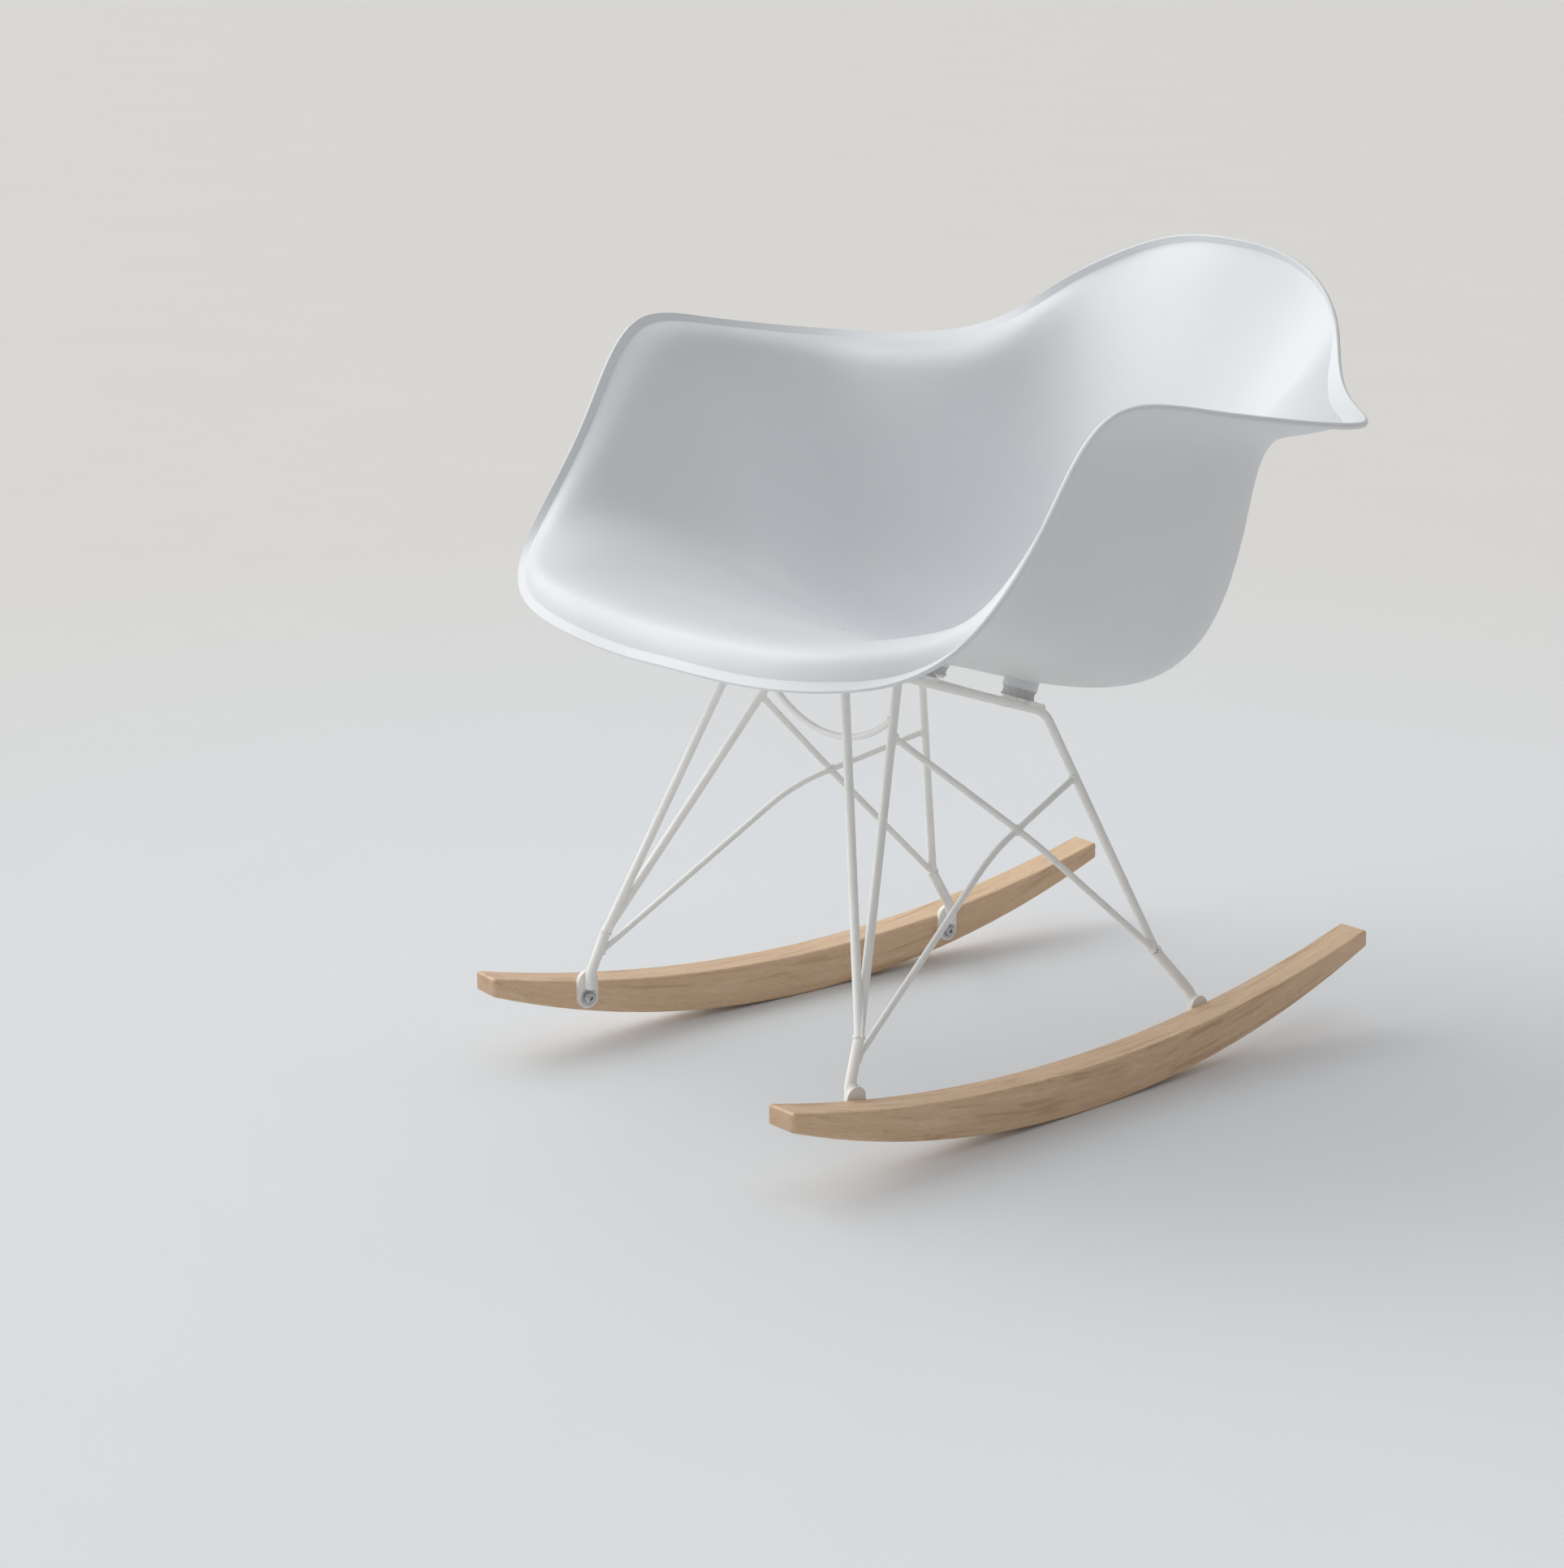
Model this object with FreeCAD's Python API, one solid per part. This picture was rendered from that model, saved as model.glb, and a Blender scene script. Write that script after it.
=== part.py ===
"""Rocking armchair: a moulded bucket shell on a wire frame with two bent wooden rockers.

Frame: +Z up, floor at Z = 0, the chair faces -Y, +X is the sitter's left-hand side.
The rockers touch the floor at Y = 0. Millimetres throughout.
"""
import FreeCAD, Part
import math
import os

Vec = FreeCAD.Vector

# Seat shell
SHELL_WIDTH = 650.0          # across the outer edges of the arms
SHELL_DEPTH = 627.0          # front lip to the top of the back
SHELL_RISE = 280.0           # edge of the front lip up to the top of the back
LIP_HEIGHT = 390.0           # floor to the edge of the front lip
SHELL_WALL = 5.5             # moulded thickness
SEAT_TILT = 17.5             # degrees, how far the seat pan leans back
BOSS_RADIUS = 15.0           # moulded bosses under the seat

# Seat mounts
MOUNT_SPACING = 112.0        # between the left and right mounts
MOUNT_FRONT_Y = -74.0
MOUNT_REAR_Y = 36.0
MOUNT_TILT = 19.0            # degrees, the rails lean back by this much
RUBBER_RADIUS = 15.0
RUBBER_HEIGHT = 8.0
RUBBER_WAIST = 1.5           # how far the waist is drawn in
SLEEVE_WALL = 1.6
PLATE_THICKNESS = 2.5
PLATE_RADIUS = 13.0
PLATE_TAB_WIDTH = 17.0       # the tab that reaches from a plate's eye to the rail
SCREW_RADIUS = 3.0
SCREW_HEAD_RADIUS = 5.4
SCREW_HEAD_HEIGHT = 3.2
SCREW_HEAD_ROUND = 1.75
SCREW_END_GAP = 1.0          # a screw stops this far short of its hole's end
SOCKET_RADIUS = 2.0
SOCKET_DEPTH = 1.9
WASHER_RADIUS = 7.5
WASHER_THICKNESS = 1.2
INSERT_WALL = 1.4

# Wire frame
MAIN_ROD = 7.6               # diameters
BRACE_ROD = 5.6
POST_ROD = 9.0
RAIL_FRONT = Vec(64, -158, 0)
RAIL_REAR = Vec(79, 48, 0)
RAIL_DROP = 42.0             # edge of the front lip down to the rails at the front mounts
RAIL_BEND = 20.0
POST_FRONT_RUN = Vec(-4.5, 13, 49.6)    # from a post's foot up to where the rods gather
POST_REAR_RUN = Vec(-12.5, -34, 57.5)
POST_FOOT_GAP = 1.5          # a post's foot stands this far above the washer
STRUT_TOP_Y = -104.0         # where the front strut meets the rail
POST_BEND = 30.0
BRACE_REAR_SHARE = 0.27      # how far down the rear leg the long brace lands
LONG_BRACE_KNEE = (130, -54, 0.451)     # X, Y and how far up from the front post to the rail
SHORT_BRACE_KNEE = (127, -5, 0.443)
BRACE_KNEE_BEND = 170.0       # the braces bow gently
BRACE_STRUT_SHARE = 0.83     # how far up the front strut the short brace lands
BRACE_POST_DROP = 18.0       # the long brace starts this far below the post's top
ARC_FRONT_SHARE = 0.88      # how far up the struts the hanging arc lands
ARC_FRONT_SAG = 30.0
CROSS_ROD_Y = 8.0            # the straight rod between the rails
WELD_SINK = 0.6              # how deep a welded end is coped over its neighbour

# Rockers
ROCKER_SPREAD = 404.0        # across the outer faces, measured over the floor contact
ROCKER_TOE = 2.5             # degrees, each rocker opens towards the front
ROCKER_WIDTH = 30.0
ROCKER_FRONT = 332.0
ROCKER_REAR = 341.0
ROCKER_SOLE_RADIUS = 905.0
ROCKER_HEIGHT = 38.0         # at the floor contact
ROCKER_TIP_HEIGHT = 16.0
ROCKER_ROUND = 2.5           # eased edges
FOOT_FRONT_Y = -240.0
FOOT_REAR_Y = 157.0
FOOT_PLATE_WIDTH = 20.0
FOOT_PLATE_HEIGHT = 34.0
FOOT_PLATE_THICKNESS = 4.0
FOOT_SCREW_DEPTH = 20.0
FOOT_INSERT_RADIUS = 4.8

# Fits
THREAD_GAP = 0.1             # screw in its insert, per side
SHANK_GAP = 0.4              # screw through a plate or sleeve, per side
SEAT_GAP = 0.05              # pressed-in pieces, per side

# The shell's form, one row per spoke from the middle of the front to the middle of the back:
# edge, roll, neck, wall and pan. X and Y are from the chair's centre, Z from the lip's edge.
SHELL_FORM = [
    ((0, -305, 0), (0, -307, 24), (0, -288, 33), (0, -236, 27), (0, -140, 5)),
    ((119, -302, 4), (119, -304, 28), (117, -285, 37), (108, -235, 30), (75, -135, 5)),
    ((204, -279, 12), (206, -281, 35), (196, -265, 43), (170, -218, 36), (130, -112, 1)),
    ((270, -231, 38), (263, -226, 54), (248, -212, 57), (220, -172, 48), (163, -80, 2)),
    ((295, -155, 130), (278, -149, 130), (265, -138, 116), (248, -106, 60), (185, -48, -8)),
    ((304, -98, 211), (284, -87, 205), (270, -75, 185), (256, -50, 103), (195, -15, -18)),
    ((315, -25, 211), (293, -20, 208), (278, -12, 187), (263, 5, 98), (200, 20, -30)),
    ((325, 64, 194), (296, 60, 194), (275, 57, 176), (262, 59, 87), (200, 58, -43)),
    ((324, 140, 182), (283, 119, 184), (252, 104, 174), (245, 105, 78), (190, 92, -54)),
    ((293, 190, 178), (244, 151, 183), (212, 132, 174), (211, 138, 76), (172, 124, -62)),
    ((215, 246, 193), (190, 214, 190), (166, 186, 170), (172, 182, 80), (142, 152, -69)),
    ((157, 298, 241), (154, 289, 231), (142, 262, 196), (128, 218, 92), (112, 172, -76)),
    ((80, 325, 277), (79, 318, 267), (77, 304, 246), (82, 245, 108), (70, 185, -80)),
    ((0, 322, 287), (0, 315, 277), (0, 301, 256), (0, 252, 110), (0, 190, -81)),
]
PAN_CENTRE = (0, 20, -49)
PAN_CORE_RADIUS = 10.0
PAN_INNER_SHARE = 0.45       # how far out the flat middle of the pan reaches
SHELL_ROUND_STEPS = 48       # samples round the shell
SHELL_RADIAL_STEPS = [0, 0.1, 0.22, 0.35, 0.47, 0.58, 0.68, 0.77, 0.85, 0.93, 1.0]

MOUNT_PLACES = [(y, side) for y in (MOUNT_FRONT_Y, MOUNT_REAR_Y) for side in (1, -1)]
SIDE_NAMES = {1: "left", -1: "right"}
END_NAMES = {MOUNT_FRONT_Y: "front", MOUNT_REAR_Y: "rear"}


# ---------------------------------------------------------------- helpers

def save(shape, name):
    """Write one named piece."""
    shape.exportStep("parts/" + name + ".step")
    print("%-28s volume %10.1f  valid %s  solids %d"
          % (name, shape.Volume, shape.isValid(), len(shape.Solids)))


def mirrored(shape):
    """The same piece on the sitter's right-hand side."""
    return shape.mirror(Vec(0, 0, 0), Vec(1, 0, 0))


def unit(vector):
    """A copy of a vector with length one."""
    return Vec(vector) / vector.Length


def rod_path(points, bend):
    """Straight runs through the points, joined by tangent arcs of one radius."""
    edges = []
    start = points[0]
    for before, corner, after in zip(points, points[1:], points[2:]):
        back = unit(before - corner)
        onward = unit(after - corner)
        half = back.getAngle(onward) / 2
        reach = bend / math.tan(half)
        middle = corner + unit(back + onward) * (bend / math.sin(half) - bend)
        first = corner + back * reach
        last = corner + onward * reach
        edges.append(Part.LineSegment(start, first).toShape())
        edges.append(Part.Arc(first, middle, last).toShape())
        start = last
    edges.append(Part.LineSegment(start, points[-1]).toShape())
    return Part.Wire(edges)


def bent_rod(points, diameter, bend=0.0):
    """A round rod along the points."""
    if len(points) == 2:
        span = points[1] - points[0]
        return Part.makeCylinder(diameter / 2, span.Length, points[0], span)
    path = rod_path(points, bend)
    section = Part.Wire(Part.makeCircle(diameter / 2, points[0], points[1] - points[0]))
    return path.makePipeShell([section], True, False)


def group(shapes):
    """Several separate solids of one kind in one piece."""
    return Part.makeCompound(shapes)


# ---------------------------------------------------------------- seat shell

def form_point(point):
    """A point of the shell's form, stretched to the driving sizes. The pan keeps its depth."""
    form_half_width = max(spoke[0][0] for spoke in SHELL_FORM)
    form_depth = SHELL_FORM[-1][0][1] - SHELL_FORM[0][0][1]
    stretch = SHELL_RISE / SHELL_FORM[-1][0][2] if point[2] > 0 else 1
    return Vec(point[0] * (SHELL_WIDTH / 2 - SHELL_WALL / 2) / form_half_width,
               point[1] * SHELL_DEPTH / form_depth,
               LIP_HEIGHT + point[2] * stretch)


def closed_ring(half):
    """A full ring of points from the left half, front to back, and its mirror image."""
    other = [Vec(-point.x, point.y, point.z) for point in half[-2:0:-1]]
    return half + other


def ring_params(points):
    """Spacing of the ring's points along the ring, from 0 to 1."""
    steps = [math.sqrt((b - a).Length) for a, b in zip(points, points[1:] + points[:1])]
    params = [0.0]
    for step in steps:
        params.append(params[-1] + step / sum(steps))
    return params


def ring_curve(points, params):
    """A smooth closed curve through a ring of points."""
    curve = Part.BSplineCurve()
    curve.interpolate(Points=points, PeriodicFlag=True, Parameters=params)
    return curve


def even_params(count):
    """Evenly spaced parameters round a ring."""
    return [index / count for index in range(count + 1)]


def pan_rings():
    """The two flat rings in the middle of the pan: the core and the inner pan."""
    centre = form_point(PAN_CENTRE)
    slope = math.tan(math.radians(SEAT_TILT))
    core = []
    inner = []
    for spoke in SHELL_FORM:
        out = form_point(spoke[-1]) - centre
        out.z = 0
        near = unit(out) * PAN_CORE_RADIUS
        far = out * PAN_INNER_SHARE
        core.append(centre + Vec(near.x, near.y, -near.y * slope))
        inner.append(centre + Vec(far.x, far.y, -far.y * slope))
    return core, inner


def form_surface():
    """The shell's sitting surface as one smooth closed sheet, from the pan out to the edge."""
    core, inner = pan_rings()
    halves = [core, inner]
    for ring in (4, 3, 2, 1, 0):
        halves.append([form_point(spoke[ring]) for spoke in SHELL_FORM])
    rings = [closed_ring(half) for half in halves]
    params = ring_params(rings[-1])
    curves = [ring_curve(ring, params) for ring in rings]
    poles = [list(row) for row in zip(*[curve.getPoles() for curve in curves])]
    spans = len(rings) - 3
    surface = Part.BSplineSurface()
    surface.buildFromPolesMultsKnots(
        poles, curves[0].getMultiplicities(), [4] + [1] * (spans - 1) + [4],
        curves[0].getKnots(), [index / spans for index in range(spans + 1)],
        True, False, 3, 3)
    return surface


def skin(rows):
    """A smooth closed skin through rows of points, one row per ring."""
    around = even_params(SHELL_ROUND_STEPS)
    rings = [ring_curve(row, around) for row in rows]
    columns = []
    for column in zip(*[ring.getPoles() for ring in rings]):
        rib = Part.BSplineCurve()
        rib.interpolate(Points=list(column), Parameters=SHELL_RADIAL_STEPS)
        columns.append(rib)
    surface = Part.BSplineSurface()
    surface.buildFromPolesMultsKnots(
        [rib.getPoles() for rib in columns],
        rings[0].getMultiplicities(), columns[0].getMultiplicities(),
        rings[0].getKnots(), columns[0].getKnots(), True, False, 3, 3)
    return surface


def lip_surface(inner_edge, outer_edge, outward):
    """The rounded edge: a half circle swept between the inner and outer skins."""
    rows = [inner_edge]
    bulge = [direction * (SHELL_WALL / 2) for direction in outward]
    rows.append([point + push for point, push in zip(inner_edge, bulge)])
    rows.append([(a + b) / 2 + push for a, b, push in zip(inner_edge, outer_edge, bulge)])
    rows.append([point + push for point, push in zip(outer_edge, bulge)])
    rows.append(outer_edge)
    corner = math.sqrt(0.5)
    weights = [1.0, corner, 1.0, corner, 1.0]
    around = even_params(SHELL_ROUND_STEPS)
    curves = [ring_curve(row, around) for row in rows]
    poles = [list(column) for column in zip(*[curve.getPoles() for curve in curves])]
    surface = Part.BSplineSurface()
    surface.buildFromPolesMultsKnots(
        poles, curves[0].getMultiplicities(), [3, 2, 3], curves[0].getKnots(), [0.0, 0.5, 1.0],
        True, False, 3, 2, [weights for _ in poles])
    return surface


def shell_blank():
    """The shell's closed wall without its bosses."""
    form = form_surface()
    around = even_params(SHELL_ROUND_STEPS)[:-1]
    inner_rows = []
    outer_rows = []
    for across in SHELL_RADIAL_STEPS:
        inner = [form.value(turn, across) for turn in around]
        normals = [form.normal(turn, across) for turn in around]
        down = -1 if normals[0].z > 0 else 1
        if across == 0:
            tilt = math.radians(SEAT_TILT)
            normals = [Vec(0, math.sin(tilt), math.cos(tilt)) for _ in around]
            down = -1
        outer = [point + normal * (SHELL_WALL * down) for point, normal in zip(inner, normals)]
        inner_rows.append(inner)
        outer_rows.append(outer)
    outward = [unit(form.getDN(turn, 1.0, 0, 1)) for turn in around]
    surfaces = [skin(inner_rows), skin(outer_rows),
                lip_surface(inner_rows[-1], outer_rows[-1], outward)]
    faces = [surface.toShape() for surface in surfaces]
    around_params = even_params(SHELL_ROUND_STEPS)
    for row in (inner_rows[0], outer_rows[0]):
        faces.append(Part.Face(Part.Wire(ring_curve(row, around_params).toShape())))
    sewn = Part.makeShell(faces)
    sewn.sewShape()
    solid = Part.makeSolid(sewn)
    if solid.Volume < 0:
        solid.reverse()
    return solid


# ---------------------------------------------------------------- seat mounts

def rail_point(y, side=1):
    """Centre of a seat rail at one distance from the middle of the chair."""
    share = (y - RAIL_FRONT.y) / (RAIL_REAR.y - RAIL_FRONT.y)
    x = RAIL_FRONT.x + share * (RAIL_REAR.x - RAIL_FRONT.x)
    drop = (y - MOUNT_FRONT_Y) * math.tan(math.radians(MOUNT_TILT))
    return Vec(side * x, y, LIP_HEIGHT - RAIL_DROP - drop)


def mount_frame(y, side):
    """Foot of a seat mount, on top of its plate's underside, and the way up to the seat."""
    tilt = math.radians(MOUNT_TILT)
    up = Vec(0, math.sin(tilt), math.cos(tilt))
    rail = rail_point(y)
    base = Vec(side * MOUNT_SPACING / 2, rail.y, rail.z) + up * (MAIN_ROD / 2 - WELD_SINK)
    return base, up


def ring_solid(outer, inner, height, base, axis):
    """A plain ring."""
    body = Part.makeCylinder(outer, height, base, axis)
    hole = Part.makeCylinder(inner, height, base, axis)
    return body.cut(hole)


def plate_top(base, up):
    """Where the rubber stands."""
    return base + up * PLATE_THICKNESS


def mount_plate(y, side):
    """Steel tab welded on top of the rail, with an eye for the mount screw."""
    base, up = mount_frame(y, side)
    eye = Part.makeCylinder(PLATE_RADIUS, PLATE_THICKNESS, base, up)
    reach = abs(rail_point(y).x - MOUNT_SPACING / 2) + MAIN_ROD / 2
    along = Vec(0, up.z, -up.y)
    outward = Vec(side, 0, 0)
    corner = base - along * (PLATE_TAB_WIDTH / 2)
    outline = [corner, corner + outward * reach]
    outline += [outline[1] + along * PLATE_TAB_WIDTH, outline[0] + along * PLATE_TAB_WIDTH, corner]
    tab = Part.Face(Part.makePolygon(outline)).extrude(up * PLATE_THICKNESS)
    hole = Part.makeCylinder(SCREW_RADIUS + SHANK_GAP, PLATE_THICKNESS, base, up)
    return eye.fuse(tab).cut(hole).removeSplitter()


def shock_mount(y, side):
    """Rubber puck with a drawn-in waist and a bore for the steel sleeve."""
    base, up = mount_frame(y, side)
    foot = plate_top(base, up)
    bore = SCREW_RADIUS + SHANK_GAP + SLEEVE_WALL + SEAT_GAP
    half = RUBBER_HEIGHT / 2
    waist = RUBBER_RADIUS - RUBBER_WAIST
    start = Vec(bore, 0, 0)
    low = Vec(RUBBER_RADIUS, 0, 0)
    middle = Vec(waist, 0, half)
    high = Vec(RUBBER_RADIUS, 0, RUBBER_HEIGHT)
    end = Vec(bore, 0, RUBBER_HEIGHT)
    edges = [Part.makeLine(start, low), Part.Arc(low, middle, high).toShape(),
             Part.makeLine(high, end), Part.makeLine(end, start)]
    body = Part.Face(Part.Wire(edges)).revolve(Vec(0, 0, 0), Vec(0, 0, 1), 360)
    body.Placement = FreeCAD.Placement(foot, FreeCAD.Rotation(Vec(0, 0, 1), up))
    return body


def sleeve(y, side):
    """Steel tube inside the rubber, which the screw clamps on."""
    base, up = mount_frame(y, side)
    bore = SCREW_RADIUS + SHANK_GAP
    return ring_solid(bore + SLEEVE_WALL, bore, RUBBER_HEIGHT, plate_top(base, up), up)


def boss_foot(y, side):
    """Underside of a boss, on top of the rubber."""
    base, up = mount_frame(y, side)
    return plate_top(base, up) + up * RUBBER_HEIGHT


def wall_span(blank, y, side):
    """Distances from a boss's foot up to the shell's outer and inner skins."""
    foot = boss_foot(y, side)
    up = mount_frame(y, side)[1]
    probe = Part.makeLine(foot - up * SHELL_WALL, foot + up * SHELL_RISE)
    inside = blank.common(probe)
    heights = [(vertex.Point - foot).dot(up) for vertex in inside.Vertexes]
    return min(heights), max(heights)


def insert_length(blank, y, side):
    """An insert fills its boss up to the middle of the shell's wall."""
    low, high = wall_span(blank, y, side)
    return (low + high) / 2 - INSERT_WALL / 2


def boss(blank, y, side):
    """Solid boss from the rubber up into the middle of the wall."""
    low, high = wall_span(blank, y, side)
    foot = boss_foot(y, side)
    up = mount_frame(y, side)[1]
    return Part.makeCylinder(BOSS_RADIUS, (low + high) / 2, foot, up)


def seat_shell(blank):
    """The wall with its four bosses, each bored for a threaded insert."""
    body = blank
    for y, side in MOUNT_PLACES:
        body = body.fuse(boss(blank, y, side))
    for y, side in MOUNT_PLACES:
        foot = boss_foot(y, side)
        up = mount_frame(y, side)[1]
        bore = SCREW_RADIUS + THREAD_GAP + INSERT_WALL + SEAT_GAP
        body = body.cut(Part.makeCylinder(bore, insert_length(blank, y, side), foot, up))
    return body


def insert(blank, y, side):
    """Threaded brass insert in a boss."""
    up = mount_frame(y, side)[1]
    bore = SCREW_RADIUS + THREAD_GAP
    length = insert_length(blank, y, side)
    return ring_solid(bore + INSERT_WALL, bore, length, boss_foot(y, side), up)


def washer(seat, axis):
    """Washer whose upper face is at seat, below the piece that it holds."""
    base = seat - axis * WASHER_THICKNESS
    return ring_solid(WASHER_RADIUS, SCREW_RADIUS + SHANK_GAP, WASHER_THICKNESS, base, axis)


def screw(head_seat, axis, length):
    """Domed socket screw: the head is behind head_seat, the shank runs along axis."""
    shank = Part.makeCylinder(SCREW_RADIUS, length, head_seat, axis)
    head = Part.makeCylinder(SCREW_HEAD_RADIUS, SCREW_HEAD_HEIGHT, head_seat, axis * -1)
    top = head_seat - axis * SCREW_HEAD_HEIGHT
    rim = [edge for edge in head.Edges if (edge.CenterOfMass - top).Length < SCREW_HEAD_HEIGHT / 2
           and edge.Curve.TypeId == "Part::GeomCircle"]
    head = head.makeFillet(SCREW_HEAD_ROUND, rim)
    socket = Part.makeCylinder(SOCKET_RADIUS, SOCKET_DEPTH, top, axis)
    return head.cut(socket).fuse(shank).removeSplitter()


# ---------------------------------------------------------------- rockers and feet

def toe_slope():
    """How fast a rocker moves inwards from front to back."""
    return math.tan(math.radians(ROCKER_TOE))


def to_rocker(shape):
    """Carry a piece built square to the chair round to the left rocker's own line."""
    shape.rotate(Vec(ROCKER_SPREAD / 2, 0, 0), Vec(0, 0, 1), ROCKER_TOE)
    return shape


def sole_height(y):
    """Underside of a rocker above the floor."""
    return ROCKER_SOLE_RADIUS - math.sqrt(ROCKER_SOLE_RADIUS ** 2 - y * y)


def rocker_back_radius():
    """Radius of the rocker's upper edge, from its height at the middle and at the tips."""
    half = (ROCKER_FRONT + ROCKER_REAR) / 2
    rise = sole_height(half) + ROCKER_TIP_HEIGHT - ROCKER_HEIGHT
    return (half * half + rise * rise) / (2 * rise)


def back_height(y):
    """Upper edge of a rocker above the floor."""
    radius = rocker_back_radius()
    return ROCKER_HEIGHT + radius - math.sqrt(radius ** 2 - y * y)


def rocker():
    """Left rocker: a flat bent blade, arc below and arc above, with eased edges."""
    inner = ROCKER_SPREAD / 2 - ROCKER_WIDTH
    stations = (-ROCKER_FRONT, 0.0, ROCKER_REAR)
    below = [Vec(inner, y, sole_height(y)) for y in stations]
    above = [Vec(inner, y, back_height(y)) for y in stations]
    edges = [Part.Arc(*below).toShape(), Part.makeLine(below[2], above[2]),
             Part.Arc(*reversed(above)).toShape(), Part.makeLine(above[0], below[0])]
    blade = Part.Face(Part.Wire(edges)).extrude(Vec(ROCKER_WIDTH, 0, 0))
    return to_rocker(blade.makeFillet(ROCKER_ROUND, blade.Edges))


def foot_height(y):
    """Middle of the rocker's inner face."""
    return (sole_height(y) + back_height(y)) / 2


def foot_plate(y):
    """Rounded plate flat against the left rocker's inner face, with a screw hole."""
    face_x = ROCKER_SPREAD / 2 - ROCKER_WIDTH
    half = FOOT_PLATE_WIDTH / 2
    low = foot_height(y)
    high = low + FOOT_PLATE_HEIGHT - FOOT_PLATE_WIDTH
    into = Vec(-1, 0, 0)
    ends = [Vec(face_x, y, low), Vec(face_x, y, high)]
    body = Part.makeBox(FOOT_PLATE_THICKNESS, FOOT_PLATE_WIDTH, high - low,
                        Vec(face_x - FOOT_PLATE_THICKNESS, y - half, low))
    for end in ends:
        body = body.fuse(Part.makeCylinder(half, FOOT_PLATE_THICKNESS, end, into))
    hole = Part.makeCylinder(SCREW_RADIUS + SHANK_GAP, FOOT_PLATE_THICKNESS, ends[0], into)
    return to_rocker(body.cut(hole).removeSplitter())


def foot_screw_seat(y):
    """Where a rocker screw's head bears, on the washer over the foot plate."""
    reach = ROCKER_SPREAD / 2 - ROCKER_WIDTH - FOOT_PLATE_THICKNESS
    return Vec(reach, y, foot_height(y))


def foot_washer(y):
    """Washer between the rocker screw and the foot plate."""
    return to_rocker(washer(foot_screw_seat(y), Vec(1, 0, 0)))


def foot_screw(y):
    """Screw through the foot plate into the rocker."""
    seat = foot_screw_seat(y) - Vec(WASHER_THICKNESS, 0, 0)
    length = WASHER_THICKNESS + FOOT_PLATE_THICKNESS + FOOT_SCREW_DEPTH - SCREW_END_GAP
    return to_rocker(screw(seat, Vec(1, 0, 0), length))


def foot_insert(y):
    """Threaded insert sunk in the rocker's inner face."""
    seat = Vec(ROCKER_SPREAD / 2 - ROCKER_WIDTH, y, foot_height(y))
    bore = SCREW_RADIUS + THREAD_GAP
    return to_rocker(ring_solid(FOOT_INSERT_RADIUS, bore, FOOT_SCREW_DEPTH, seat, Vec(1, 0, 0)))


def insert_hole(y):
    """The hole in the rocker that takes an insert."""
    seat = Vec(ROCKER_SPREAD / 2 - ROCKER_WIDTH, y, foot_height(y))
    radius = FOOT_INSERT_RADIUS + SEAT_GAP
    return to_rocker(Part.makeCylinder(radius, FOOT_SCREW_DEPTH, seat, Vec(1, 0, 0)))


def post_foot(y):
    """Lower end of a post's centre line, against the foot plate and above its screw."""
    lift = WASHER_RADIUS + POST_FOOT_GAP
    reach = ROCKER_SPREAD / 2 - ROCKER_WIDTH - FOOT_PLATE_THICKNESS - POST_ROD / 2 + WELD_SINK
    point = Vec(reach, y, foot_height(y) + lift)
    turn = FreeCAD.Rotation(Vec(0, 0, 1), ROCKER_TOE)
    pivot = Vec(ROCKER_SPREAD / 2, 0, 0)
    return pivot + turn.multVec(point - pivot)


def front_post_top():
    """Where the front leg, strut and long brace gather."""
    return post_foot(FOOT_FRONT_Y) + POST_FRONT_RUN


def rear_post_top():
    """Where the rear leg and short brace gather."""
    return post_foot(FOOT_REAR_Y) + POST_REAR_RUN


def foot_post(y, top):
    """Short post from a foot plate up to where the rods gather."""
    foot = post_foot(y)
    knee = foot + Vec(0, 0, FOOT_PLATE_HEIGHT - FOOT_PLATE_WIDTH)
    return bent_rod([foot, knee, top], POST_ROD, POST_BEND)


# ---------------------------------------------------------------- wire frame

def between(start, end, share):
    """A point part of the way along a run."""
    return start + (end - start) * share


def brace_knee(place):
    """Corner of a brace, from its X, its Y and its share of the way up to the rail."""
    low = front_post_top().z
    return Vec(place[0], place[1], low + (LIP_HEIGHT - RAIL_DROP - low) * place[2])


def side_wire():
    """Front leg, seat rail and rear leg in one bent rod."""
    points = [front_post_top(), rail_point(RAIL_FRONT.y), rail_point(RAIL_REAR.y),
              rear_post_top()]
    return bent_rod(points, MAIN_ROD, RAIL_BEND)


def strut_ends():
    """The front strut runs from the front post to the rail just ahead of the front mount."""
    return front_post_top(), rail_point(STRUT_TOP_Y)


def long_brace():
    """From the front post back to the rear leg, bowed upwards."""
    start = front_post_top() - unit(POST_FRONT_RUN) * BRACE_POST_DROP
    end = between(rail_point(RAIL_REAR.y), rear_post_top(), BRACE_REAR_SHARE)
    return bent_rod([start, brace_knee(LONG_BRACE_KNEE), end], BRACE_ROD, BRACE_KNEE_BEND)


def short_brace():
    """From the rear post forward to the front strut, bowed outwards over the long brace."""
    foot, head = strut_ends()
    points = [rear_post_top(), brace_knee(SHORT_BRACE_KNEE),
              between(foot, head, BRACE_STRUT_SHARE)]
    return bent_rod(points, BRACE_ROD, BRACE_KNEE_BEND)


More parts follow.
